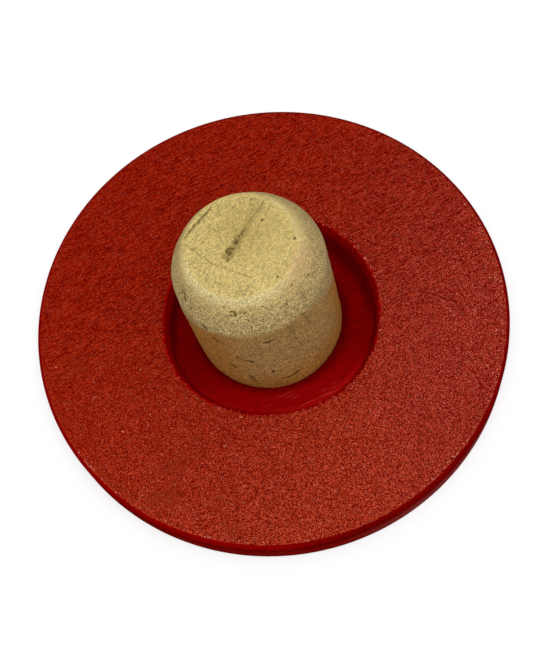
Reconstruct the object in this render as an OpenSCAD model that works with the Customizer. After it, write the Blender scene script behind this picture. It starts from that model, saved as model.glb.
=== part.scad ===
// Bottle stopper: a wide turned wooden disc with a natural cork shank.
//
// It stands with its shank up, as it lies on a table when it is off the bottle.
// The disc's underside is on z = 0 and its centre is the origin. The shank is glued
// upright in a shallow recess, and the ring of recess left round it takes the lip of
// the bottle. The shank leans a little, so its foot is trimmed flat to the recess.

/* [Wooden disc] */
// Diameter across the rim
disc_d = 65; // [50:0.5:90]
// Thickness from the underside to the face
disc_t = 5.4; // [4:0.1:10]
// Radius of the round at the face's outer edge
face_edge_r = 0.5; // [0.2:0.1:1]
// Radius of the round at the underside's outer edge
base_edge_r = 0.6; // [0.2:0.1:1.2]

/* [Recess] */
// Diameter of the recess where it meets the face
recess_d = 29.8; // [26:0.1:36]
// Depth of the recess below the face
recess_depth = 2.45; // [1.5:0.05:3]
// How far the wall comes in between the face and the recess floor
wall_run = 0.7; // [0.2:0.1:1]
// Radius of the cove between the wall and the recess floor
cove_r = 0.4; // [0.2:0.1:0.8]
// Radius of the worn edge round the mouth of the recess
mouth_edge_r = 0.25; // [0.1:0.05:0.5]

/* [Cork shank] */
// Diameter of the straight part, before it is squeezed into a bottle neck
shank_d = 20; // [17:0.1:21]
// Length of the shank above the recess floor
shank_len = 24; // [18:0.5:35]
// How far the bevel at the free end comes in from the side
bevel_in = 2.75; // [1:0.05:4]
// How far the bevel reaches down the side
bevel_drop = 5; // [2:0.1:8]
// Radius of the soft edge between the end face and the bevel
end_edge_r = 0.8; // [0.3:0.1:1.5]
// How far the foot is drawn in from the side, so that it goes into the glue
foot_in = 0.4; // [0.1:0.05:1]
// How far up from the recess floor the drawn-in foot reaches
foot_up = 1.6; // [1:0.1:4]
// Radius of the soft edges at both ends of the straight side
side_edge_r = 3; // [1:0.5:5]
// Angle that the shank leans off upright, towards -X
lean = 3.9; // [0:0.1:6]

/* [Hidden] */
$fn = 96;

disc_r = disc_d / 2;
mouth_r = recess_d / 2;
floor_r = mouth_r - wall_run;
floor_z = disc_t - recess_depth;
shank_r = shank_d / 2;
end_r = shank_r - bevel_in;
shoulder_h = shank_len - bevel_drop;

// The shank starts this far below the recess floor, so that the slanted cut
// across its foot still meets the whole of its side.
foot_spare = shank_r * tan(lean) + 1;
foot_r = shank_r - foot_in * (foot_up + foot_spare) / foot_up;

// Length of v, and the direction from a to b as a unit vector.
function size(v) = sqrt(v * v);
function toward(a, b) = (b - a) / size(b - a);

// What is cut off a corner of a section to leave a round of radius r there. The
// corner's two edges run towards the points a and b. The cutter reaches a little
// past both edges, and its arc is a hair wider than the round, so that the arc
// crosses each edge cleanly where it would otherwise only touch it.
module corner_cutter(corner, a, b, r) {
    past = 1.2;
    hair = 0.0005;
    u = toward(corner, a);
    v = toward(corner, b);
    half = acos(u * v) / 2;
    tangent = r / tan(half);
    centre = corner + toward([0, 0], u + v) * r / sin(half);
    outline = [corner, corner + u * tangent, centre, corner + v * tangent];
    difference() {
        polygon([for (p = outline) centre + past * (p - centre)]);
        translate(centre) circle(r = r + hair);
    }
}

// Half of the recess's section. It runs on above the face, to cut clear through it.
module recess_section() {
    over = 1;
    axis_floor = [0, floor_z];
    floor_corner = [floor_r, floor_z];
    mouth_corner = [mouth_r, disc_t];
    difference() {
        polygon([axis_floor, floor_corner, mouth_corner, [mouth_r, disc_t + over], [0, disc_t + over]]);
        corner_cutter(floor_corner, axis_floor, mouth_corner, cove_r);
    }
}

// Half of the disc's section, from the axis to the rim.
module disc_section() {
    base_corner = [disc_r, 0];
    face_corner = [disc_r, disc_t];
    mouth_corner = [mouth_r, disc_t];
    difference() {
        square([disc_r, disc_t]);
        recess_section();
        corner_cutter(mouth_corner, [floor_r, floor_z], face_corner, mouth_edge_r);
        corner_cutter(face_corner, mouth_corner, base_corner, face_edge_r);
        corner_cutter(base_corner, face_corner, [0, 0], base_edge_r);
    }
}

// Half of the shank's section, with z = 0 where its axis meets the recess floor.
module shank_section() {
    foot_axis = [0, -foot_spare];
    foot_corner = [foot_r, -foot_spare];
    heel = [shank_r, foot_up];
    shoulder = [shank_r, shoulder_h];
    end_corner = [end_r, shank_len];
    end_axis = [0, shank_len];
    difference() {
        polygon([foot_axis, foot_corner, heel, shoulder, end_corner, end_axis]);
        corner_cutter(heel, foot_corner, shoulder, side_edge_r);
        corner_cutter(shoulder, heel, end_corner, side_edge_r);
        corner_cutter(end_corner, shoulder, end_axis, end_edge_r);
    }
}

module wooden_disc() {
    color("firebrick") rotate_extrude() disc_section();
}

// The leaning shank, trimmed level with the recess floor that it is glued to.
module cork_shank() {
    trim = 2 * (shank_d + foot_spare);
    color("burlywood") difference() {
        translate([0, 0, floor_z]) rotate([0, -lean, 0]) rotate_extrude() shank_section();
        translate([-trim / 2, -trim / 2, floor_z - trim]) cube(trim);
    }
}

wooden_disc();
cork_shank();
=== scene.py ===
# %% [markdown]
# # A bottle stopper: a red wooden disc and a natural cork shank
#
# The real object is a disc turned from wood and painted red, with a shallow round
# recess in one face. A natural cork is glued into the recess, leaning a little, and
# the ring of recess left round it takes the lip of the bottle.
#
# The sizes come from the packed CAD part, which is loaded first and never changed.
# The disc and the shank made here each stand for one CAD node, in the same place, in
# metres. The nibs of dust in the paint are trim, and stand for no node.

# %% Load the frame
import math

import bpy
from mathutils import Matrix, Vector


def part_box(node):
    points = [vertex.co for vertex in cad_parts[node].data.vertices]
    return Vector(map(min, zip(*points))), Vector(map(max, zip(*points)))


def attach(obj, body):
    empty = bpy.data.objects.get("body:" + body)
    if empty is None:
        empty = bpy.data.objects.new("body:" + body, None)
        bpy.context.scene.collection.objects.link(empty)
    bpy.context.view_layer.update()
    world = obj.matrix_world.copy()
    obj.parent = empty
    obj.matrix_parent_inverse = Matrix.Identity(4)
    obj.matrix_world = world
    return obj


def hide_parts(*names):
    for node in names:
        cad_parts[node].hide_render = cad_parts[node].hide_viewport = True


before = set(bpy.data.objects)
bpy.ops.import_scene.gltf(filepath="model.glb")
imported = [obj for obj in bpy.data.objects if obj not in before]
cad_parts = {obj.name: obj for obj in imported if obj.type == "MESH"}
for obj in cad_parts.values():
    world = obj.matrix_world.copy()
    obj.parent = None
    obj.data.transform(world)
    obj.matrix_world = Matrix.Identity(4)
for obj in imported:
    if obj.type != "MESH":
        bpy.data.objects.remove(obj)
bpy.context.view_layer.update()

MM = 0.001
SCENE = bpy.context.scene

# %% [markdown]
# ## Arithmetic on node trees
#
# Shapes and finishes below are node trees. A tree drawn by hand is easy to follow,
# but one built by a script soon drowns in calls that make and link nodes. A small
# class that stands for a socket, and answers to +, -, * and /, lets each formula be
# written as a formula. It serves Geometry Nodes and shaders alike, because both
# have the same Math, Map Range and texture nodes.


# %% A socket that does arithmetic
def put(tree, kind, inputs=None, **settings):
    """Adds a node, sets its settings, and sets or links its inputs by name or number."""
    made = tree.nodes.new(kind)
    for name, value in settings.items():
        setattr(made, name, value)
    for key, value in (inputs or {}).items():
        socket = made.inputs[key]
        if isinstance(value, Flow):
            tree.links.new(value.socket, socket)
        else:
            socket.default_value = value
    return made


class Flow:
    """What comes out of a socket."""

    def __init__(self, socket):
        self.socket = socket
        self.tree = socket.id_data

    def math(self, operation, *others):
        numbers = dict(enumerate((self, *others)))
        return Flow(put(self.tree, "ShaderNodeMath", numbers, operation=operation).outputs[0])

    def __add__(self, other):
        return self.math("ADD", other)

    def __sub__(self, other):
        return self.math("SUBTRACT", other)

    def __mul__(self, other):
        return self.math("MULTIPLY", other)

    def __truediv__(self, other):
        return self.math("DIVIDE", other)

    def __rsub__(self, other):
        return self.math("MULTIPLY_ADD", -1.0, other)

    __radd__ = __add__
    __rmul__ = __mul__

    def step(self, low, high, start=0.0, end=1.0):
        """Goes smoothly from start to end while the value goes from low to high."""
        inputs = {0: self, 1: low, 2: high, 3: start, 4: end}
        node = put(self.tree, "ShaderNodeMapRange", inputs, interpolation_type="SMOOTHSTEP")
        return Flow(node.outputs[0])

    def parts(self):
        """The x, y and z of a vector."""
        node = put(self.tree, "ShaderNodeSeparateXYZ", {0: self})
        return [Flow(socket) for socket in node.outputs]

    def vector(self, operation, *others):
        numbers = dict(enumerate((self, *others)))
        node = put(self.tree, "ShaderNodeVectorMath", numbers, operation=operation)
        number = operation in ("LENGTH", "DISTANCE", "DOT_PRODUCT")
        return Flow(node.outputs["Value" if number else "Vector"])

    def scaled(self, factor):
        node = put(self.tree, "ShaderNodeVectorMath", {0: self, "Scale": factor}, operation="SCALE")
        return Flow(node.outputs["Vector"])

    def drawn_out(self, stretch, turn):
        """The place, squeezed so that textures on it stretch along a line at this turn."""
        inputs = {"Vector": self, "Angle": -turn}
        along = put(self.tree, "ShaderNodeVectorRotate", inputs, rotation_type="Z_AXIS")
        return Flow(along.outputs[0]).vector("MULTIPLY", (1 / stretch, 1, 1))

    def noise(self, size, detail=2.0, rough=0.5):
        """Noise from 0 to 1 with lumps about `size` across."""
        inputs = {"Vector": self, "Scale": 1 / size, "Detail": detail, "Roughness": rough}
        return Flow(put(self.tree, "ShaderNodeTexNoise", inputs).outputs[0])

    def crumbs(self, size):
        """Cells about `size` across: a random number for each, and the way to its middle."""
        node = put(self.tree, "ShaderNodeTexVoronoi", {"Vector": self, "Scale": 1 / size})
        return Flow(node.outputs["Color"]).parts()[0], Flow(node.outputs["Distance"])

    def from_line(self, start, end):
        """How far the place is from a straight stroke."""
        start, stroke = Vector(start), Vector(end) - Vector(start)
        past = self.vector("SUBTRACT", start)
        share = past.vector("DOT_PRODUCT", stroke) / stroke.length_squared
        share = Flow(put(self.tree, "ShaderNodeClamp", {0: share}).outputs[0])
        return past.vector("DISTANCE", joined(*(share * part for part in stroke)))


def joined(x, y, z):
    """A vector from three numbers, at least one of which is a Flow."""
    tree = next(part.tree for part in (x, y, z) if isinstance(part, Flow))
    return Flow(put(tree, "ShaderNodeCombineXYZ", {0: x, 1: y, 2: z}).outputs[0])


print("a Flow has", ", ".join(name for name in vars(Flow) if not name.startswith("_")))

# %% [markdown]
# ## Materials
#
# A picture could be wrapped round each piece, but it would blur close up and stretch
# at the edges. So every finish is a tree of small textures laid on the object's own
# coordinates. A finish is told as a maker would: a ground colour, with other colours
# laid over it, each by its own amount.


# %% Helpers for a material
def blend(tree, factor, first, second):
    """A colour between two, each a Flow or three numbers."""
    ends = [end if isinstance(end, Flow) else (*end, 1.0) for end in (first, second)]
    inputs = {0: factor, 6: ends[0], 7: ends[1]}
    return Flow(put(tree, "ShaderNodeMix", inputs, data_type="RGBA").outputs[2])


def layered(tree, colour, layers):
    """A ground colour with others laid over it in turn. Layers are (amount, colour)."""
    for amount, over in layers:
        colour = blend(tree, amount, colour, over)
    return colour


def embossed(tree, shader, height, strength, distance):
    """Bends the light as a relief of this height would. The distance is in metres."""
    relief = {"Height": height, "Strength": strength, "Distance": distance}
    tree.links.new(put(tree, "ShaderNodeBump", relief).outputs[0], shader.inputs["Normal"])


def new_material(name):
    """A node material, its tree, its main shader and the place on the object in mm."""
    material = bpy.data.materials.new(name)
    material.use_nodes = True
    tree = material.node_tree
    shader = tree.nodes["Principled BSDF"]
    place = Flow(put(tree, "ShaderNodeTexCoord").outputs["Object"]).scaled(1 / MM)
    return material, tree, shader, place


paint, tree, shader, place = new_material("red_paint")
x, y, z = place.parts()
print("made the material", paint.name)

# %% [markdown]
# ## Parts of the disc
#
# One paint covers the whole disc, but it looks different on the face, on the rim and
# in the recess. How high a point lies and how far past the mouth of the recess tell
# these apart. The disc's own tree writes that distance on its points, so the paint
# follows the mouth where it wanders. Sizes are in mm, and within 0.05 mm of the CAD
# part's, but for the round at the rim, which is worn a little softer here.

# %% Measure the disc
DISC_LOW, DISC_HIGH = (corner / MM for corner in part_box("wooden_disc"))
DISC_R = (DISC_HIGH.x - DISC_LOW.x) / 2
FACE_Z = DISC_HIGH.z
MOUTH_R = 14.95
FLOOR_Z = 2.95
FLOOR_R = 14.15
RIM_ROUND = 0.8
RIM_EDGE = DISC_R - 0.50 - MOUTH_R
out = Flow(put(tree, "ShaderNodeAttribute", attribute_name="past_mouth").outputs["Fac"])
print("disc radius", round(DISC_R, 2), "mm, face at", round(FACE_Z, 2), "mm")

# %% [markdown]
# ## The face
#
# The face was sanded end to end and painted thinly, so the grain and a fine orange
# peel show through a matt coat. Peel is thousands of crumbs of paint, some in the
# light and some in shade, so it is made of layers of small cells, whose light and
# shade are painted into the colour. They stand higher towards the front right, where
# the lit crumbs are also painted paler and pinker, as a painted sheen. Towards the
# back the grain shows more, as cells and noise drawn out along one line; that it
# shows more there is in part painted shade on its relief. A speckle of all these
# picks the light and the dark crumbs. Pits, olive patches and one scratch lie on top,
# with pale sparks and glints that are painted highlights.

# %% Paint of the face
GRAIN_TURN = math.radians(17)
# The last of these sizes is that of the cells of the painted glints.
CRUMB, FINE, RIPPLE, FLECK, GLINT_CELL = 0.072, 0.050, 0.075, 0.15, 0.19
FINE_SHIFT, FLECK_SHIFT = (3.1, 7.7, 0.4), (7.3, 2.9, 5.1)
SCRATCH = (20.4, -1.7, FACE_Z), (25.0, -4.4, FACE_Z)

FACE_RED = (0.290, 0.0047, 0.0006)
LIT_GRAIN_CRUMB = (0.61, 0.047, 0.010)
PALE_PEEL = (0.82, 0.090, 0.034)
MAUVE_SHEEN = (0.76, 0.092, 0.050)
OLIVE_RED = (0.235, 0.0210, 0.0050)
DARK_PIT = (0.120, 0.0008, 0.0002)
# The colours of the painted highlights: pale sparks and glints on the peel.
SPARK_GLINT = (0.95, 0.24, 0.14)
GLINT = (0.95, 0.36, 0.28)

# Where the peel stands high and carries a painted sheen, and where the grain shows more, in part as
# painted shade on its relief.
peel_and_sheen = (x * 0.6 - y * 0.8).step(-24, 26)
lined = y.step(-14, 4)

ragged = place.noise(0.30, 3, 0.7) - 0.5
mottle = place.noise(3.2, 3, 0.6) - 0.5
grain = place.drawn_out(7, GRAIN_TURN).noise(0.12, 3, 0.6) - 0.5
veins = place.drawn_out(12, GRAIN_TURN).noise(0.20, 2) - 0.5
ripple, _ = place.drawn_out(9, GRAIN_TURN).crumbs(RIPPLE)
sanded = place.drawn_out(1.3, GRAIN_TURN)
crumb, _ = sanded.crumbs(CRUMB)
fine, _ = sanded.vector("ADD", FINE_SHIFT).crumbs(FINE)
luck, gap = sanded.vector("ADD", FLECK_SHIFT).crumbs(FLECK)
chance, off = place.crumbs(GLINT_CELL)

speckle = (crumb - 0.5) * (0.80 + peel_and_sheen * 0.90) + (fine - 0.5) * 0.8
speckle = speckle + (ripple - 0.5) * (0.1 + lined * 0.9)
speckle = speckle + (grain * 0.8 + veins) * (0.2 + lined * 0.6) + mottle * 0.15
# How bright the lit crumbs are, by place: a painted sheen.
share = 0.42 + peel_and_sheen * 0.42 - x.step(6, 26) * 0.12
share = share + x.step(-12, -24) * y.step(8, -2) * 0.16
light = speckle.step(0.05, 0.37) * share
dark = speckle.step(-0.05, -0.35) * 0.95

# Specks the size of a fleck: pale sparks, which are painted glints of light on the peel, where luck
# is high, and pits where it is low.
bright = (luck + veins * (0.2 + lined * 1.1)).step(0.60, 0.80)
spark_glint = gap.step(0.44, 0.20) * bright * (0.29 + peel_and_sheen * 0.41)
pit = gap.step(0.46, 0.24) * luck.step(0.36, 0.22) * (0.70 + peel_and_sheen * 0.25)
# Painted glints of light on the peel.
glint = off.step(0.36, 0.20) * chance.step(0.90, 0.95) * (0.20 + peel_and_sheen * 0.5)

olive = place.noise(5.0, 2).step(0.50, 0.75) * (x * -0.25 - y * 0.8).step(2, 14)
olive = olive * x.step(8, -6, 0.10, 0.50)
# A painted highlight along the edge of the face at the rim, on the near side.
rim_highlight = out.step(RIM_EDGE - 0.28, RIM_EDGE - 0.10) * (crumb + ragged * 1.5).step(0.35, 0.75)
rim_highlight = rim_highlight * (y * -1.0).step(-12, 8)
wobble = joined(0.0, (place.noise(1.5, 1) - 0.5) * 1.4, 0.0)
scratch = place.vector("ADD", wobble).from_line(*SCRATCH) + ragged * 0.4

# The colour of the lit crumbs, painted paler and pinker towards the front right as sheen.
peel_colour = blend(tree, x.step(2, 22), PALE_PEEL, MAUVE_SHEEN)
peel_colour = blend(tree, peel_and_sheen, LIT_GRAIN_CRUMB, peel_colour)
face_colour = layered(tree, FACE_RED, (
    (light, peel_colour),
    (dark.math("MAXIMUM", pit), DARK_PIT),
    (spark_glint, SPARK_GLINT),
    (olive, OLIVE_RED),
    (rim_highlight * 0.17, PALE_PEEL),
    (glint, GLINT),
    (scratch.step(0.34, 0.20) * 0.22, PALE_PEEL),
    (scratch.step(0.20, 0.08) * 0.80, DARK_PIT),
))
print("the face is sanded", round(math.degrees(GRAIN_TURN)), "degrees off the X axis")

# %% [markdown]
# ## The rim and the recess
#
# The rim and the recess were smoother than the face and took the paint as an even,
# deep red. It is painted lighter towards the front and on the left wall, and darker on
# the rim, as painted light and shade, over a coat that the brush left uneven. Painted
# shade darkens the corners of the recess and the foot of the cork. The brush left fine
# streaks on the floor. On the near side, the lower half of the rim carries a painted
# reflection of the table.

# %% Paint of the rim and the recess
BRUSH_TURN = math.radians(8)
STREAK_TURN = math.radians(12)

THICK_AND_SHADED_RED = (0.100, 0.0003, 0.0004)
THIN_AND_LIT_RED = (0.360, 0.0012, 0.0014)
SHADE_RED = (0.050, 0.0002, 0.0003)
LIT_FLOOR_RED = (0.52, 0.006, 0.004)
STREAK_RED = (0.74, 0.075, 0.058)
LIT_LOW_RIM = (0.250, 0.0060, 0.0042)
RIM_REFLECTION_MAUVE = (0.275, 0.038, 0.032)

rim = out.step(10, 12)
below = z.step(FACE_Z - 0.6, FACE_Z - 1.1)
brush = place.drawn_out(7, BRUSH_TURN).noise(0.20, 3, 0.7) - 0.5

# How thin the coat is, with painted light and shade: lighter towards the front and on the left
# wall, darker on the rim.
wall = z.step(FACE_Z - 2.2, FACE_Z - 1.0) * y.step(-12, -8, 0.6, 1.0).math("MAXIMUM", rim)
thin_coat_and_light = y.step(-13, -4, 0.74, 0.30).math("MAXIMUM", wall * x.step(6, -6, 0.85, 1.4))
thin_coat_and_light = thin_coat_and_light - rim * x.step(-2, 14, 0.82, 0.52) + brush * 0.9
thin_coat_and_light = thin_coat_and_light + (crumb - 0.5) * (0.45 + y.step(-9, -12) * 0.5)
# Painted light on the floor along the near wall.
near_floor_light = (out + brush * 0.5).step(-1.9, -0.8) * out.step(-0.1, -0.5) * y.step(-7, -11.5)

# The lower half of the rim on the near side: painted light, red on the left and a painted mauve
# reflection of the table on the right.
low = rim * (z + brush * 2.4 + mottle * 1.6).step(4.5, 2.2) * y.step(8, -8) * 0.85
low = low * z.step(0.3, 1.6, 0.35, 1.0).math("MAXIMUM", x.step(2, 12))
rim_reflection_colour = blend(tree, x.step(0, 14), LIT_LOW_RIM, RIM_REFLECTION_MAUVE)

# Painted shade: between wall and floor, wider and deeper towards the back right, and round the foot
# of the cork.
back = (x * 0.5 + y * 0.87).step(3, 14)
corner = out.step(-1.80 - back * 1.8, -1.15) * out.step(-0.60, -0.95)
corner = corner * (0.60 + back * 0.15 + ragged * 0.7) * y.step(-4.0, 1.0)
foot_shade = out.step(-3.4, -4.9) * 0.6

# Streaks that the brush left on the near side of the floor.
brushed = place.drawn_out(34, STREAK_TURN).noise(0.10, 1).step(0.60, 0.72)
brushed = brushed * (0.70 + gap.step(0.44, 0.20) * luck.step(0.60, 0.80) * 0.30)
brushed = brushed * y.step(-10.6, -11.6) * x.step(-4, 0) * x.step(10, 6)
brushed = brushed * below * out.step(-0.3, -0.8)

well_colour = layered(tree, blend(tree, thin_coat_and_light, THICK_AND_SHADED_RED, THIN_AND_LIT_RED), (
    (near_floor_light * x.step(-5, 1, 0.25, 0.62), LIT_FLOOR_RED),
    (low, rim_reflection_colour),
    ((corner + foot_shade) * below, SHADE_RED),
    (brushed, STREAK_RED),
))
print("the recess is", round(FACE_Z - FLOOR_Z, 2), "mm deep")

# %% [markdown]
# ## One coat
#
# The face's paint stops raggedly a little past the mouth of the recess, and more
# cleanly at the round of the rim. The coat is matt, so it has no mirror reflection at
# all, and the sheen of the face is painted into its colour instead. The peel also bends
# the light a little, most where it stands high.

# %% Join the paint
from_mouth = (out + ragged * 1.2 + place.noise(1.1, 2) * 0.9).step(0.58, 0.68)
face = from_mouth * (out + ragged * 0.35).step(RIM_EDGE + 0.03, RIM_EDGE - 0.03)
face = face * z.step(FACE_Z - 0.45, FACE_Z - 0.30)
tree.links.new(blend(tree, face, well_colour, face_colour).socket, shader.inputs["Base Color"])

rough = 0.38 + face * 0.15 + mottle * 0.08
tree.links.new(rough.socket, shader.inputs["Roughness"])
shader.inputs["Specular IOR Level"].default_value = 0.0
height = speckle * face * (0.25 + peel_and_sheen * 0.35) + mottle * 0.2 + brush * 0.3
embossed(tree, shader, height, 0.7, 0.1 * MM)
print(paint.name, "has", len(tree.nodes), "nodes")

# %% [markdown]
# ## Sections with rounded corners
#
# A lathe leaves a body of revolution, and the cork is one too, ground from a strip
# of bark. So each piece starts as half of its section: a line of points from the
# bottom of the axis, out to the side, and back to the top of the axis. Corners are
# given with the radius of their round, and every stretch with the spacing of its
# points, because fine relief needs close points and a hidden flat needs few.


# %% Outline of a section
ARC_SPACING = 0.11


def outline(corners):
    """Points along corners (across, up, radius of the round, spacing after it), in mm."""
    places = [Vector(corner[:2]) for corner in corners]
    points = [places[0]]
    for index, (here, corner) in enumerate(zip(places, corners)):
        radius, spacing = corner[2:]
        if 0 < index < len(places) - 1 and radius:
            back = (places[index - 1] - here).normalized()
            ahead = (places[index + 1] - here).normalized()
            half = back.angle(ahead) / 2
            centre = here + (back + ahead).normalized() * radius / math.sin(half)
            first = here + back * radius / math.tan(half) - centre
            swing = first.angle_signed(here + ahead * radius / math.tan(half) - centre)
            steps = max(3, round(abs(swing) * radius / ARC_SPACING))
            turns = [-swing * step / steps for step in range(steps + 1)]
            arc = [centre + Matrix.Rotation(turn, 2) @ first for turn in turns]
        else:
            arc = [here]
        points += spaced(points[-1], arc[0], corners[index - 1][3]) if index else []
        points += arc[1:]
    return points


def spaced(start, end, spacing):
    """Evenly spaced points after start, up to end."""
    steps = max(1, round((end - start).length / spacing))
    return [start.lerp(end, step / steps) for step in range(1, steps + 1)]


def section_object(name, points):
    """A mesh of one open line, in metres, in the plane of x and z."""
    mesh = bpy.data.meshes.new(name)
    rows = [(across * MM, 0, up * MM) for across, up in points]
    mesh.from_pydata(rows, [(row, row + 1) for row in range(len(rows) - 1)], [])
    made = bpy.data.objects.new(name, mesh)
    SCENE.collection.objects.link(made)
    return made


disc_section = outline([
    (0, 0, 0, 8), (DISC_R, 0, 0.6, 0.5), (DISC_R, FACE_Z, RIM_ROUND, 0.3),
    (MOUTH_R + 1, FACE_Z, 0, 0.1), (MOUTH_R, FACE_Z, 0.25, 0.2),
    (FLOOR_R, FLOOR_Z, 0.4, 0.35), (8, FLOOR_Z, 0, 8), (0, FLOOR_Z, 0, 8),
])
print("the disc's section has", len(disc_section), "points")

# %% [markdown]
# ## The turning tree
#
# A lathe tool could be imitated with a Screw modifier, but relief needs more than a
# plain turned body. So a small tree does the turning: it bends a grid into a body of
# revolution, whose rows take the points of the section and whose columns take the
# angles round the axis. The seam and the poles are merged, so the surface is closed.


# %% Turn a section
SEAM = 1e-7


def geometry(tree, kind, inputs=None, out=0, **settings):
    """A Geometry Nodes node, as the Flow of one of its outputs."""
    return Flow(put(tree, kind, inputs, **settings).outputs[out])


def position(tree):
    return geometry(tree, "GeometryNodeInputPosition")


def sampled(source, value, index, kind="FLOAT"):
    """The value that a field has at one point of another geometry."""
    inputs = {"Geometry": source, "Value": value, "Index": index}
    return geometry(source.tree, "GeometryNodeSampleIndex", inputs, data_type=kind, domain="POINT")


def turned(tree, given):
    """A grid wrapped round the axis. Crowding draws its columns towards the -Y side."""
    section, segments, crowding = given["Source"], given["Segments"], given["Crowding"]
    rows = geometry(tree, "GeometryNodeAttributeDomainSize", {0: section}, component="MESH")
    sides = {"Vertices X": segments + 1.0, "Vertices Y": rows}
    grid = geometry(tree, "GeometryNodeMeshGrid", sides)
    index = geometry(tree, "GeometryNodeInputIndex")
    column = (index / rows).math("FLOOR")
    point = sampled(section, position(tree), index - column * rows, "FLOAT_VECTOR")
    across, _, up = point.parts()
    angle = column / segments * math.tau
    angle = angle + (angle + math.pi / 2).math("SINE") * -1.0 * crowding
    wrapped = joined(across * angle.math("COSINE"), across * angle.math("SINE"), up)
    grid = geometry(tree, "GeometryNodeSetPosition", {"Geometry": grid, "Position": wrapped})
    seams = {"Geometry": grid, "Distance": SEAM}
    return geometry(tree, "GeometryNodeMergeByDistance", seams)


print("points within", SEAM / MM, "mm of each other are merged")

# %% [markdown]
# ## From a tree to a piece
#
# Each piece has a function that grows it: it starts from the turned grid or from loose
# points, adds its own relief, and reads its own named inputs. The function below makes
# the tree's inputs, runs the tree on an object, and keeps the result as a plain mesh,
# with no modifier left on it.


# %% Grow a piece
SOCKETS = {float: "Float", int: "Int", bpy.types.Object: "Object", bpy.types.Material: "Material"}


def stored(tree, body, label, value):
    inputs = {"Geometry": body, "Name": label, "Value": value}
    kind = {"data_type": "FLOAT", "domain": "POINT"}
    return geometry(tree, "GeometryNodeStoreNamedAttribute", inputs, **kind)


def grown(name, source, grow, values):
    """Runs a tree over an object, and gives back what it grows as a plain mesh object."""
    tree = bpy.data.node_groups.new(name + "_tree", "GeometryNodeTree")
    tree.interface.new_socket("Source", in_out="INPUT", socket_type="NodeSocketGeometry")
    keys = {}
    for label, value in values.items():
        kind = next(word for base, word in SOCKETS.items() if isinstance(value, base))
        socket = tree.interface.new_socket(label, in_out="INPUT", socket_type="NodeSocket" + kind)
        keys[label] = socket.identifier
    tree.interface.new_socket("Piece", in_out="OUTPUT", socket_type="NodeSocketGeometry")
    entry = tree.nodes.new("NodeGroupInput")
    given = {socket.name: Flow(socket) for socket in entry.outputs if socket.name}
    body = grow(tree, given)
    body = geometry(tree, "GeometryNodeRealizeInstances", {0: body})
    body = geometry(tree, "GeometryNodeSetShadeSmooth", {"Geometry": body, "Shade Smooth": True})
    dressed = {"Geometry": body, "Material": given["Material"]}
    body = geometry(tree, "GeometryNodeSetMaterial", dressed)
    tree.links.new(body.socket, tree.nodes.new("NodeGroupOutput").inputs[0])

    modifier = source.modifiers.new("Grown", "NODES")
    modifier.node_group = tree
    for label, value in values.items():
        modifier[keys[label]] = value
    graph = bpy.context.evaluated_depsgraph_get()
    mesh = bpy.data.meshes.new_from_object(
        source.evaluated_get(graph), preserve_all_data_layers=True, depsgraph=graph
    )
    bpy.data.objects.remove(source)
    mesh.name = name
    piece = bpy.data.objects.new(name, mesh)
    SCENE.collection.objects.link(piece)
    mesh.calc_loop_triangles()
    print(name, "-", len(mesh.vertices), "points,", len(mesh.loop_triangles), "triangles")
    return piece


print("an input may be one of:", ", ".join(SOCKETS.values()))

# %% [markdown]
# ## The wooden disc
#
# The recess was cut before painting, and its mouth is not quite round: the cutter
# wandered in the soft grain, and the paint bridged small teeth in the edge. A few
# slow waves round the mouth and some noise for the teeth bend the turned section.
# The face gets a faint swell along the grain, and the rim is worn a little unevenly,
# so that the light breaks up on them.


# %% Turn the disc
# Each wave: how many go round the mouth, how high in mm, where it crests in degrees.
MOUTH_WAVES = ((1, 0.20, 56), (2, 0.085, 123), (3, 0.19, -109), (4, 0.09, 104))


def grow_disc(tree, given):
    body = turned(tree, given)
    x, y, z = position(tree).scaled(1 / MM).parts()
    radius = joined(x, y, 0.0).vector("LENGTH")
    angle = y.math("ARCTAN2", x)
    round_trip = joined(x / radius, y / radius, 0.0)
    wander = 0.0
    for waves, size, crest in MOUTH_WAVES:
        wander = (angle * float(waves) - math.radians(crest)).math("COSINE") * size + wander
    teeth = (round_trip.noise(0.028, 4, 0.75) - 0.5) * given["Teeth"]

    # The waves fade out over the floor and the face, and the teeth close to the mouth.
    upper = z.step(FLOOR_Z - 0.6, FLOOR_Z - 0.1)
    slow = radius.step(10.5, 13.7) * radius.step(19, 15.6) * upper
    quick = radius.step(14.2, 14.7) * radius.step(15.8, 15.15) * upper
    outward = wander * given["Wander"] * slow + teeth * quick
    side = radius.step(DISC_R - 0.9, DISC_R - 0.05)
    outward = outward - joined(x, y, z * 0.4).noise(2.4, 3) * 0.03 * side

    place = joined(x, y, z)
    swell = (place.noise(4.5, 2) - 0.5) * 0.09
    ridges = (place.drawn_out(6, GRAIN_TURN).noise(0.9) - 0.5) * 0.05
    rise = (swell + ridges) * z.step(FACE_Z - 0.15, FACE_Z - 0.02) * given["Relief"]
    offset = joined(x / radius * outward, y / radius * outward, rise).scaled(MM)
    body = stored(tree, body, "past_mouth", radius - MOUTH_R)
    return geometry(tree, "GeometryNodeSetPosition", {"Geometry": body, "Offset": offset})


disc = grown("red_disc", section_object("disc_section", disc_section), grow_disc, {
    "Segments": 760, "Crowding": 0.0, "Wander": 1.0, "Teeth": 1.4, "Relief": 1.0,
    "Material": paint,
})

# %% [markdown]
# ## Listed marks
#
# A seeded scatter can't put a fleck where the real disc has one, or a crack where the
# cork has one. So marks are listed, as strokes of loose points on the surface.
# Each point has the radius of the mark, how deep it goes and how dark it is, in an
# attribute of its own. The disc's flecks come first: they are dust dried into the
# paint, and have neither depth nor stain.


# %% Strokes of points
STROKE_SPACING = 0.08


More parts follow.
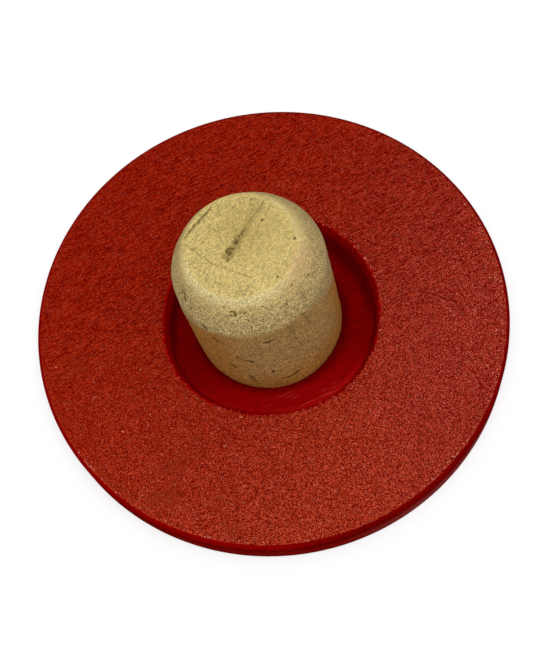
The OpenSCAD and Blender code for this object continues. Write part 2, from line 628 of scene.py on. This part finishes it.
def marks_object(name, strokes, place):
    """Strokes are (radius, depth, stain, points). place gives the x, y and z of a point."""
    spots, radii, depths, stains = [], [], [], []
    for radius, depth, stain, points in strokes:
        path = [Vector(place(*point)) for point in points]
        line = path[:1]
        for start, end in zip(path, path[1:]):
            line += spaced(start, end, STROKE_SPACING)
        spots += line
        for values, value in ((radii, radius), (depths, depth), (stains, stain)):
            values += [value] * len(line)
    mesh = bpy.data.meshes.new(name)
    mesh.from_pydata([spot * MM for spot in spots], [], [])
    for label, values in (("radius", radii), ("depth", depths), ("stain", stains)):
        mesh.attributes.new(label, "FLOAT", "POINT").data.foreach_set("value", values)
    made = bpy.data.objects.new(name, mesh)
    SCENE.collection.objects.link(made)
    print(name, "-", len(strokes), "strokes,", len(spots), "points")
    return made


def on_face(x, y):
    return x, y, FACE_Z + 0.04


FLECKS = [
    (0.21, 0, 0, [(-26.0, -6.9), (-25.8, -6.5), (-25.4, -6.4), (-25.1, -6.7)]),
    (0.15, 0, 0, [(-21.3, -21.2), (-21.7, -21.5), (-22.1, -21.9)]),
    (0.15, 0, 0, [(-28.2, -14.9), (-27.7, -15.8), (-27.0, -16.6)]),
]
FLECKS += [
    (0.20, 0, 0, [spot])
    for spot in (
        (-20.3, -15.8), (-16.6, -22.9), (-15.3, -5.8), (-17.2, -6.3), (-30.7, -5.8),
        (-11.5, -11.0), (-5.1, -31.0), (-18.5, -25.8), (-16.5, -27.2), (12.8, 9.0),
        (14.8, 4.5), (14.9, 3.2), (15.2, -1.4), (13.9, 7.0),
    )
]
flecks = marks_object("flecks", FLECKS, on_face)

# %% [markdown]
# ## Nibs in the paint
#
# More dust and sawdust dried into the coat: tiny pale nibs stand along the rim and the
# mouth, where the brush unloaded, and are strewn over the face. Modelling each would
# be slow, so small balls with few faces are instanced on points, some strewn along
# arcs with a fixed seed and some on the listed flecks. They sit a little sunk
# in the face.


# %% Scatter the nibs
# Each arc: how many nibs, its angles in degrees, its radii in mm.
ARCS = (
    (28, (195, 290), (31.6, 31.9)), (32, (290, 330), (31.6, 31.9)), (46, (-30, 20), (31.0, 31.9)),
    (22, (-25, 80), (15.1, 15.4)), (22, (200, 330), (15.1, 15.7)),
    (76, (-35, 12), (24, 31.6)), (45, (180, 300), (17, 31)),
)
SMALLEST_NIB = 0.05
NIB_HEIGHT = 0.7
DUSTY_RED = (0.53, 0.084, 0.045)
PALE_DUST = (0.82, 0.26, 0.175)

nib_paint, tree, shader, place = new_material("pale_nibs")
tone = place.noise(0.15, 2, 0.7)
colour = blend(tree, tone.step(0.35, 0.65), DUSTY_RED, PALE_DUST)
tree.links.new(colour.socket, shader.inputs["Base Color"])
shader.inputs["Roughness"].default_value = 0.6
shader.inputs["Specular IOR Level"].default_value = 0.1
embossed(tree, shader, tone, 0.4, 0.03 * MM)


def named(tree, label):
    """The attribute of this name, as a field."""
    inputs = {"Name": label}
    return geometry(tree, "GeometryNodeInputNamedAttribute", inputs, data_type="FLOAT")


def any_from(tree, low, high, seed):
    """A random number for each point, the same on every run."""
    inputs = {2: low, 3: high, 8: seed}
    return geometry(tree, "FunctionNodeRandomValue", inputs, out=1, data_type="FLOAT")


def grow_nibs(tree, given):
    laid = geometry(tree, "GeometryNodeMeshToPoints", {"Mesh": given["Source"]})
    together = tree.nodes.new("GeometryNodeJoinGeometry")
    tree.links.new(laid.socket, together.inputs[0])
    for turn, (count, angles, radii) in enumerate(ARCS):
        seed = given["Seed"] + 3 * turn
        angle = any_from(tree, *map(math.radians, angles), seed)
        radius = any_from(tree, *radii, seed + 1)
        across = angle.math("COSINE") * radius
        spot = joined(across, angle.math("SINE") * radius, FACE_Z + 0.03).scaled(MM)
        strewn = geometry(tree, "GeometryNodePoints", {"Count": count, "Position": spot})
        size = any_from(tree, SMALLEST_NIB, given["Largest nib in mm"], seed + 2)
        tree.links.new(stored(tree, strewn, "radius", size).socket, together.inputs[0])
    size = named(tree, "radius") * MM
    long = any_from(tree, 0.8, 1.7, given["Seed"])
    turn = any_from(tree, 0.0, math.tau, given["Seed"])
    ball = {"Radius": 1.0, "Subdivisions": 1}
    inputs = {
        "Points": Flow(together.outputs[0]),
        "Instance": geometry(tree, "GeometryNodeMeshIcoSphere", ball),
        "Rotation": joined(0.0, 0.0, turn),
        "Scale": joined(size * long, size, size * NIB_HEIGHT),
    }
    return geometry(tree, "GeometryNodeInstanceOnPoints", inputs)


nibs = grown("paint_nibs", flecks, grow_nibs, {
    "Seed": 5, "Largest nib in mm": 0.13, "Material": nib_paint,
})

# %% [markdown]
# ## Natural cork
#
# Cork is bark. The shank was cut from it upright and ground to a bevel at its free
# end. There and on the end the cut cells are open, and look pale or grey, while the
# side is smoother and browner. The real shank leans, so its material works in the
# shank's own upright frame: a Mapping node turns the place back. First come the zones
# that the finish tells apart.

# %% Zones of the cork
LEAN = math.radians(3.9)
SHANK_R = 10.0
SHANK_LEN = 24.0
SHOULDER_H = 19.0
END_R = 7.25

cork, tree, shader, place = new_material("natural_cork")
upright = {"Vector": place, "Location": (0, 0, FLOOR_Z), "Rotation": (0, -LEAN, 0)}
place = Flow(put(tree, "ShaderNodeMapping", upright, vector_type="TEXTURE").outputs[0])
x, y, h = place.parts()
across = joined(x, y, 0.0).vector("LENGTH")

# The ground band reaches lower at the back, and its border wavers.
wave = (place.noise(5.0, 2) - 0.5) * 1.6
border = SHOULDER_H - (y + 8.6).math("MAXIMUM", 0.0) * (0.78 + x * 0.022)
border = border.math("MAXIMUM", 12.8)
ground = (h - border + wave).step(-0.60, 0.70)
end = (h + place.noise(1.2, 2) * 1.2).step(SHANK_LEN - 2.6, SHANK_LEN + 0.35)

# Both flanks of the side are painted browner, as shade where they turn away from the front, and all
# of it is browner near the foot.
flank_shade = (x * 0.42 - y).step(9.3, 4.5) * x.step(1, -1)
flank_shade = flank_shade + (x * -0.30 - y).step(4.2, 0.0) * x.step(-1, 1)
brown = (flank_shade * y.step(5, -2, 0.3, 1.0)).math("MAXIMUM", h.step(8, 2))

# The edge between end and bevel carries a painted highlight, on the near side and on
# the right, with a pink painted highlight just below it on the near right, and the
# middle of the end is darker.
ridge_highlight = across.step(6.5, 7.05) * h.step(22.5, 23.5) * (x * -0.3 - y).step(-0.5, 4.5)
far_ridge_highlight = across.step(6.4, 7.1) * across.step(8.3, 7.5) * x.step(3.0, 5.0)
far_ridge_highlight = far_ridge_highlight * y.step(-3.5, -1.5) * h.step(22.0, 23.0)
pink_highlight = x.step(3.4, 5.8) * y.step(-0.5, -3.0) * across.step(5.9, 7.0) * h.step(21.2, 22.8)
darker_middle = joined(x - 1.0, y - 2.2, 0.0).vector("LENGTH").step(6.5, 0.5) * end
print("the shank is", SHANK_LEN, "mm long and leans", round(math.degrees(LEAN), 2), "degrees")

# %% [markdown]
# ## Cut cells
#
# Close up, cut cork is a felt of cells far smaller than a millimetre, with some larger
# lumps. Three layers of small cells make it, one of them drawn out, as the grinding
# belt left it. They scale the colour up and down, so the grain is as strong on brown
# cork as on pale. Pepper is the open pores, which are thickest low on the bevel.

# %% Grain of the cork
SCORING_TURN = math.radians(40)
GRIT, FINE_GRIT, SCORE, PORE = 0.074, 0.050, 0.080, 0.30
FINE_GRIT_SHIFT = (5.2, 1.3, 9.1)

lumps = place.noise(1.7, 3, 0.6)
felt = place.noise(0.50, 3, 0.65)
tall = joined(x, y, h * 0.45 + (h - 18.0).math("MAXIMUM", 0.0) * 0.35)
grit, _ = tall.crumbs(GRIT)
fine_grit, _ = tall.vector("ADD", FINE_GRIT_SHIFT).crumbs(FINE_GRIT)
scoring, _ = tall.drawn_out(4.5, SCORING_TURN).crumbs(SCORE)
seed, off = place.crumbs(PORE)

cells = (grit - 0.5) * 1.15 + (fine_grit - 0.5) * 0.8 + (scoring - 0.5) * 0.65
cells = cells + (felt - 0.5) * (1 - end) * 0.3
grainy = cells.step(-0.55, 0.55, -1.0, 1.0)
grainy = grainy * (0.66 + ground * x.step(0, 6, 0.12, -0.04) - end * 0.31)
shade = 1 - ground * (1 - end) * h.step(21.5, 17.5) * 0.16
tone = (0.78 + lumps * 0.34 + felt * (0.28 - end * 0.10)) * shade
tone = tone * (1 + grainy * cells.step(-0.1, 0.1, 1.0, 0.6))

pepper = off.step(0.40, 0.22) * seed.step(0.30, 0.42)
pepper = pepper * (0.20 + ground * h.step(23.5, 19.5) * 0.50)
pepper = pepper * (1 - end * 0.9) * x.step(-9, -4, 0.3, 1.0)
crumbly = across.step(4.6, 5.8) * across.step(6.9, 6.3) * end * felt.step(0.50, 0.36)
pepper = pepper + crumbly * 0.28 + felt.step(0.40, 0.30) * (1 - end * 0.6) * 0.12
print("cells of", GRIT, FINE_GRIT, "and", SCORE, "mm")

# %% [markdown]
# ## The cork's colours
#
# The zones are laid over each other, then the grain scales them, and then come the
# dark things: pepper, the growth channel across the end, painted shade low on the foot,
# and the marks. The shank's tree writes how dark each mark is on the points. A mark over
# 1 is as dark as a crack anywhere, and one under 0 is a pale spot.

# %% Colours of the cork
CHANNEL = (-1.9, -0.9, SHANK_LEN), (3.6, 4.9, SHANK_LEN)

END_COLOUR = (0.845, 0.640, 0.232)
MIDDLE_COLOUR = (0.530, 0.370, 0.100)
BEVEL_COLOUR = (0.628, 0.452, 0.188)
BODY_COLOUR = (0.488, 0.290, 0.096)
EDGE_COLOUR = (0.485, 0.188, 0.012)
PINK_HIGHLIGHT = (0.850, 0.500, 0.250)
PORE_AND_SHADE_COLOUR = (0.120, 0.072, 0.018)
CHANNEL_COLOUR = (0.130, 0.085, 0.012)
CRACK_COLOUR = (0.066, 0.031, 0.0020)
RIDGE_HIGHLIGHT = (0.950, 0.775, 0.368)
PALE_CELL = (0.95, 0.80, 0.38)

channel = place.from_line(*CHANNEL) / y.step(-1.5, 4.5, 0.92, 0.58)
channel = (channel + (felt - 0.5) * 1.6).step(1.0, 0.25)
channel = channel * h.step(SHANK_LEN - 0.9, SHANK_LEN - 0.6)
stain = Flow(put(tree, "ShaderNodeAttribute", attribute_name="stain").outputs["Fac"])
deep = (1 - ground).math("MAXIMUM", stain.step(1.2, 1.8))
mark_colour = blend(tree, deep, CHANNEL_COLOUR, CRACK_COLOUR)

colour = layered(tree, BODY_COLOUR, (
    (brown * 0.64, EDGE_COLOUR),
    (ground, BEVEL_COLOUR),
    (end, END_COLOUR),
    (darker_middle * 0.5, MIDDLE_COLOUR),
    (ridge_highlight * x.step(5.5, 1.5, 0.42, 0.76), RIDGE_HIGHLIGHT),
    (far_ridge_highlight * 0.34, RIDGE_HIGHLIGHT),
    (pink_highlight * 0.44, PINK_HIGHLIGHT),
))
colour = layered(tree, colour.scaled(tone), (
    (pepper, PORE_AND_SHADE_COLOUR),
    (channel * y.step(4.4, 0.4, 0.12, 0.46), CHANNEL_COLOUR),
    # Painted shade low on the foot, where it stands in the recess.
    ((h + lumps * 1.1).step(1.25, 0.45) * 0.42, PORE_AND_SHADE_COLOUR),
    (stain * (0.70 + felt.step(0.35, 0.60) * 0.30), mark_colour),
    (stain * -1.0, PALE_CELL),
))
tree.links.new(colour.socket, shader.inputs["Base Color"])
shader.inputs["Roughness"].default_value = 0.85
shader.inputs["Specular IOR Level"].default_value = 0.15
height = lumps * 0.5 + felt * (0.9 - end * 0.3) + cells * 0.4 - pepper * 0.6
embossed(tree, shader, height, 0.8, 0.18 * MM)
print(cork.name, "has", len(tree.nodes), "nodes")

# %% [markdown]
# ## Marks on the cork
#
# Dark clots lie along the growth channel, like beads on a string. A straight crack
# cuts the back of the end, and short cracks and one large round pore mark the side
# that faces forward. Places on the end are x and y. Places on the side are the angle
# round the axis in degrees and the height above the recess floor in mm. The large
# pore's reach is in the same two units.


# %% Lay the marks
def on_end(x, y):
    return x, y, SHANK_LEN


def on_side(turn, height):
    """A place on the side or the bevel of the upright shank."""
    above = max(0.0, height - SHOULDER_H)
    radius = SHANK_R - above * (SHANK_R - END_R) / (SHANK_LEN - SHOULDER_H)
    turn = math.radians(turn)
    return radius * math.cos(turn), radius * math.sin(turn), height


END_MARKS = [
    # The edges of the channel.
    (0.15, 0.05, 0.22, [(1.5, 2.7), (2.7, 3.8), (4.7, 5.9)]),
    (0.14, 0.05, 0.16, [(1.2, 3.1), (2.4, 4.4), (3.6, 5.6)]),
    # Clots along the channel.
    (0.17, 0.20, 0.95, [(-1.75, -0.25), (-1.66, -0.12)]),
    (0.15, 0.20, 0.90, [(-1.36, -0.52), (-1.55, -0.62)]),
    (0.16, 0.20, 0.90, [(-1.38, 0.12), (-1.20, 0.05)]),
    (0.15, 0.15, 0.85, [(-0.88, -0.12)]),
    (0.16, 0.15, 0.95, [(-0.60, 0.66), (-0.26, 0.82)]),
    (0.14, 0.15, 0.80, [(-0.35, 0.50)]),
    (0.16, 0.08, 0.40, [(-0.45, 1.20)]),
    (0.15, 0.15, 0.85, [(0.18, 1.30)]),
    (0.15, 0.12, 0.90, [(0.54, 1.58)]),
    (0.14, 0.12, 0.85, [(0.73, 1.88)]),
    (0.14, 0.12, 0.70, [(1.04, 2.08)]),
    (0.16, 0.10, 0.80, [(-1.81, -1.28)]),
    # Black dots.
    (0.155, 0.12, 2.20, [(3.34, 2.75)]),
    (0.155, 0.12, 2.20, [(6.70, -0.75)]),
    (0.16, 0.12, 0.80, [(4.60, 5.40)]),
    # The straight crack, and two faint creases.
    (0.14, 0.20, 0.85, [
        (-6.6, 2.92), (-5.95, 3.45), (-4.65, 4.53), (-3.46, 5.42), (-2.55, 6.13),
    ]),
    (0.13, 0.08, 0.30, [
        (-6.5, 2.1), (-5.5, 0.9), (-3.7, -1.35), (-2.5, -2.1), (-1.1, -3.2), (0.3, -4.2),
    ]),
    (0.13, 0.08, 0.28, [(-3.35, 3.7), (-2.0, 2.4)]),
]
END_MARKS += [
    (0.16, 0.12, 0.9, [spot])
    for spot in ((3.6, -5.2), (-5.3, 0.6), (2.6, 5.8))
]

LARGE_PORE = (-110, 22.2)
LARGE_PORE_REACH = (7, 0.9)


def pore_arc(first, last, wide):
    """Places on an arc round the large pore, between two angles seen from outside."""
    turns = [math.radians(first + (last - first) * step / 8) for step in range(9)]
    (middle, height), (broad, tall) = LARGE_PORE, LARGE_PORE_REACH
    return [
        (middle + broad * wide * math.cos(turn), height + tall * wide * math.sin(turn))
        for turn in turns
    ]


SIDE_MARKS = [
    # The large pore: its dark bow, the pale cork inside, and its pale rim.
    (0.15, 0.25, 0.95, pore_arc(130, -130, 0.33)),
    (0.14, 0.10, -0.25, [(-110.8, 22.2)]),
    (0.13, -0.05, -0.50, pore_arc(-10, -120, 0.66)),
    # Cracks, from the left of the bevel down to the foot.
    (0.22, 0.12, 0.90, [(-165.0, 20.95), (-163.8, 20.6)]),
    (0.22, 0.12, 0.95, [(-160.6, 21.0), (-158.2, 20.4)]),
    (0.28, 0.12, 0.90, [(-135.0, 19.2), (-133.4, 18.3)]),
    (0.26, 0.10, 0.95, [(-129.6, 16.5), (-127.0, 15.7)]),
    (0.30, 0.10, 0.95, [(-90.4, 16.5), (-88.6, 16.4)]),
    (0.22, 0.10, 0.90, [(-88.0, 16.6), (-85.5, 16.6)]),
    (0.24, 0.10, 0.90, [(-116.0, 11.6), (-111.3, 10.85), (-108.0, 10.6)]),
    (0.32, 0.10, 0.95, [(-107.6, 10.6), (-105.8, 10.4)]),
    (0.26, 0.10, 0.85, [(-125.8, 8.2), (-121.3, 7.5)]),
    (0.24, 0.08, 0.55, [(-135.5, 9.5), (-132.0, 8.8)]),
    (0.30, 0.10, 0.80, [(-112.8, 5.1), (-111.3, 4.1)]),
    (0.24, 0.10, 0.85, [(-110.2, 3.4), (-111.4, 3.0)]),
    (0.16, 0.06, 2.00, [(-94.0, 6.85), (-94.0, 6.45)]),
    (0.23, 0.10, 0.90, [(-89.3, 3.45), (-84.5, 3.1), (-80.5, 3.2), (-76.3, 3.7)]),
    (0.34, 0.06, 1.00, [(-85.2, 3.15), (-83.8, 3.15)]),
    (0.28, 0.10, 0.90, [(-79.2, 3.35), (-77.6, 3.6)]),
    # Hairlines that run down the side.
    (0.15, 0.06, 0.45, [(-71.6, 18.6), (-70.6, 17.2), (-69.6, 15.6)]),
    (0.14, 0.06, 0.36, [(-69.6, 14.6), (-67.6, 12.4), (-66.4, 10.4)]),
    (0.14, 0.06, 0.36, [(-58.0, 18.8), (-56.5, 17.0), (-54.5, 14.6)]),
    (0.13, 0.05, 0.22, [(-97.0, 17.6), (-96.0, 14.0), (-97.0, 11.5)]),
]
SIDE_MARKS += [
    (0.16, 0.12, 0.85, [spot])
    for spot in (
        (-51, 22.7), (-137, 21.8), (-81, 22.2), (-83, 22.6), (-99, 22.4), (-118, 22.9),
        (-32.8, 15.7), (19, 20.8), (-33, 21.5), (-150, 20.2), (-124, 19.6), (-64, 21.4),
    )
]
end_marks = marks_object("end_marks", END_MARKS, on_end)
side_marks = marks_object("side_marks", SIDE_MARKS, on_side)

# %% [markdown]
# ## The cork shank
#
# Grinding leaves the shank a little out of round, and pores open all over it. The
# tree scatters pores with a fixed seed and looks up the nearest pore and the nearest
# laid mark at each point. It dents the surface there, and writes how dark the point is
# into the attribute that the material reads. Last, the foot is sheared to stand flat
# in the recess, and the shank is leaned.


# %% Turn the shank
def nearest(tree, points, where):
    """The index of the point of another geometry that is nearest to a place."""
    inputs = {0: points, "Sample Position": where}
    return geometry(tree, "GeometryNodeSampleNearest", inputs, domain="POINT")


def nearest_mark(tree, marks, where):
    """How deep the nearest mark of an object is here in mm, and how dark, with soft edges."""
    points = geometry(tree, "GeometryNodeObjectInfo", {"Object": marks}, out="Geometry")
    index = nearest(tree, points, where)

    def there(label):
        return sampled(points, named(tree, label), index)

    spot = sampled(points, position(tree), index, "FLOAT_VECTOR")
    away = where.vector("DISTANCE", spot) / MM
    radius = there("radius")
    inside = away.step(radius * 0.72, radius * 1.22, 1.0, 0.0)
    return inside * there("depth"), inside * there("stain")


def grow_shank(tree, given):
    body = turned(tree, given)
    here = position(tree)
    normal = geometry(tree, "GeometryNodeInputNormal")
    place = here.scaled(1 / MM)

    # Edges of marks and pores waver: the place where they are looked up is bent along
    # the surface.
    wavy = {"Vector": place, "Scale": 2.2, "Detail": 2.0}
    warp = geometry(tree, "ShaderNodeTexNoise", wavy, out="Color")
    warp = warp.vector("SUBTRACT", (0.5, 0.5, 0.5)).scaled(0.5 * MM)
    warp = warp.vector("SUBTRACT", normal.scaled(warp.vector("DOT_PRODUCT", normal)))
    bent = here.vector("ADD", warp)

    scatter = {"Mesh": body, "Density": given["Pores per square metre"], "Seed": given["Seed"]}
    pores = geometry(tree, "GeometryNodeDistributePointsOnFaces", scatter)
    index = nearest(tree, pores, bent)
    spot = sampled(pores, position(tree), index, "FLOAT_VECTOR")
    chance = put(tree, "FunctionNodeRandomValue", {"Seed": given["Seed"]}, data_type="FLOAT")
    luck = sampled(pores, Flow(next(out for out in chance.outputs if out.enabled)), index)
    size = given["Pore radius in mm"] * (0.4 + luck.math("POWER", 3.0))
    pore = (bent.vector("DISTANCE", spot) / MM).step(size * 0.4, size, 1.0, 0.0)
    end_depth, end_stain = nearest_mark(tree, given["End marks"], bent)
    side_depth, side_stain = nearest_mark(tree, given["Side marks"], bent)
    body = stored(tree, body, "stain", pore * 0.35 + end_stain + side_stain)

    # The shank is lumpy, slimmer at the left of its shoulder, and swollen low in front.
    x, y, h = place.parts()
    lumps = place.noise(6.0, 2) * 0.16 + place.noise(1.4, 3) * 0.07
    side = h.step(SHANK_LEN - 1, SHANK_LEN - 3)
    shoulder = (x * -1.0).step(4, 9) * h.step(14, 18.5) * h.step(23.4, 21)
    swollen = (x * -0.6 - y * 0.8).step(2, 9) * h.step(13, 5) * 0.2
    depth = lumps - side * 0.06 - swollen + pore * 0.10 + shoulder * 0.22
    inward = normal.scaled((depth + end_depth + side_depth) * -MM)
    body = geometry(tree, "GeometryNodeSetPosition", {"Geometry": body, "Offset": inward})

    x, y, h = position(tree).scaled(1 / MM).parts()
    h = h - x * math.tan(LEAN) * h.step(0, 4, 1.0, 0.0)
    leaned = joined(
        x * math.cos(LEAN) - h * math.sin(LEAN) + given["Seat in mm"], y,
        h * math.cos(LEAN) + x * math.sin(LEAN) + FLOOR_Z,
    )
    leaned = {"Geometry": body, "Position": leaned.scaled(MM)}
    return geometry(tree, "GeometryNodeSetPosition", leaned)


shank_section = outline([
    (0, 0, 0, 3), (9.9, 0, 0, 0.12), (SHANK_R, 0.6, 1, 0.14), (SHANK_R, SHOULDER_H, 3, 0.13),
    (END_R, SHANK_LEN, 0.8, 0.13), (0.3, SHANK_LEN, 0, 0.3), (0, SHANK_LEN, 0, 0.3),
])
shank = grown("cork_plug", section_object("shank_section", shank_section), grow_shank, {
    "Segments": 380, "Crowding": 0.45, "Pores per square metre": 180000.0,
    "Pore radius in mm": 0.20, "Seed": 7, "Seat in mm": -0.10,
    "End marks": end_marks, "Side marks": side_marks, "Material": cork,
})
for helper in (end_marks, side_marks):
    bpy.data.objects.remove(helper)

# %% [markdown]
# ## Ties to the frame
#
# Each piece rides on the one body, and stands for its CAD node if it has one, whose
# CAD part is hidden. The slot of material that its finish belongs to is printed.

# %% Ride on the frame
TIES = (
    (disc, "red_paint", "wooden_disc"),
    (nibs, "red_paint", None),
    (shank, "natural_cork", "cork_shank"),
)
for piece, slot, node in TIES:
    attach(piece, "root")
    if node:
        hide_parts(node)
    print(piece.name, "uses", slot)

# %% [markdown]
# ## The table
#
# The stopper lies on a plain pale table. It should look white to the eye but light the
# stopper only as a pale table would. So Light Path makes it brighter to the camera, by
# a glow that grows away from the stopper, where its shadow ends.

# %% The table
TABLE_HALF = 0.6
TABLE_GAP = 0.0002
PALE_GREY = (0.45, 0.45, 0.45)
PALER_GREY = (0.56, 0.56, 0.56)

sides = ((-1, -1), (1, -1), (1, 1), (-1, 1))
corners = [(across * TABLE_HALF, along * TABLE_HALF, -TABLE_GAP) for across, along in sides]
floor_mesh = bpy.data.meshes.new("table")
floor_mesh.from_pydata(corners, [], [(0, 1, 2, 3)])
floor = bpy.data.objects.new("table", floor_mesh)
SCENE.collection.objects.link(floor)

table_paint, tree, shader, place = new_material("pale_table")
path = put(tree, "ShaderNodeLightPath")
to_camera = Flow(path.outputs["Is Camera Ray"])
seen = to_camera.math("MAXIMUM", Flow(path.outputs["Is Glossy Ray"]))
tree.links.new(blend(tree, seen, PALE_GREY, PALER_GREY).socket, shader.inputs["Base Color"])
shader.inputs["Roughness"].default_value = 0.9
shader.inputs["Specular IOR Level"].default_value = 0.0
glow = to_camera * place.vector("LENGTH").step(80, 300, 0.55, 0.68)
tree.links.new(glow.socket, shader.inputs["Emission Strength"])
shader.inputs["Emission Color"].default_value = (1, 1, 1, 1)
floor_mesh.materials.append(table_paint)
print("table", 2 * TABLE_HALF, "m wide")

# %% [markdown]
# ## The light
#
# Soft studio light: a pale room all round and one broad lamp almost overhead. Their
# sum is about what turns a colour into itself, so the paint looks the same under any
# fair light.

# %% The light
ROOM = 0.62
LAMP = 0.38
LAMP_SIZE = 0.30
LAMP_PLACE = Vector((0.02, -0.13, 0.45))

world = bpy.data.worlds.new("room")
SCENE.world = world
world.use_nodes = True
tree = world.node_tree
backdrop = tree.nodes["Background"]
path = put(tree, "ShaderNodeLightPath")
strength = Flow(path.outputs["Is Camera Ray"]) * (1 - ROOM) + ROOM
backdrop.inputs["Color"].default_value = (1, 1, 1, 1)
tree.links.new(strength.socket, backdrop.inputs["Strength"])

lamp = bpy.data.lights.new("lamp", "AREA")
lamp.shape = "DISK"
lamp.size = LAMP_SIZE
lamp.energy = LAMP * math.pi ** 2 * LAMP_PLACE.length ** 2
lamp_object = bpy.data.objects.new("lamp", lamp)
SCENE.collection.objects.link(lamp_object)
lamp_object.location = LAMP_PLACE
lamp_object.rotation_euler = LAMP_PLACE.to_track_quat("Z", "Y").to_euler()
SCENE.view_settings.view_transform = "Standard"
print("lamp", round(lamp.energy, 3), "W")

# %% [markdown]
# ## The camera
#
# The camera looks steeply down at the disc from close by, held a little askew, so the
# near side of the disc looks clearly larger than the far side.

# %% The camera
CAMERA_AWAY = 0.160
CAMERA_HEIGHT = 66.40
CAMERA_TURNS = (("X", 90 - CAMERA_HEIGHT), ("Z", -12.78), ("Y", -0.252), ("X", -0.853))

camera_data = bpy.data.cameras.new("camera")
camera_data.lens = 63.68
camera_data.sensor_width = 36
camera_data.clip_start = 0.01
camera = bpy.data.objects.new("camera", camera_data)
SCENE.collection.objects.link(camera)
aim = Vector((0, 0, FACE_Z * MM))
climb = math.radians(CAMERA_HEIGHT)
toward_camera = Vector((0, -math.cos(climb), math.sin(climb)))
pose = Matrix.Translation(aim + toward_camera * CAMERA_AWAY)
for axis, turn in CAMERA_TURNS:
    pose = pose @ Matrix.Rotation(math.radians(turn), 4, axis)
camera.matrix_world = pose
SCENE.camera = camera
print("camera", round(CAMERA_AWAY / MM), "mm away, lens", camera_data.lens, "mm")

# %% [markdown]
# ## The end
#
# The box round everything that was made has to stay inside the CAD part's box.
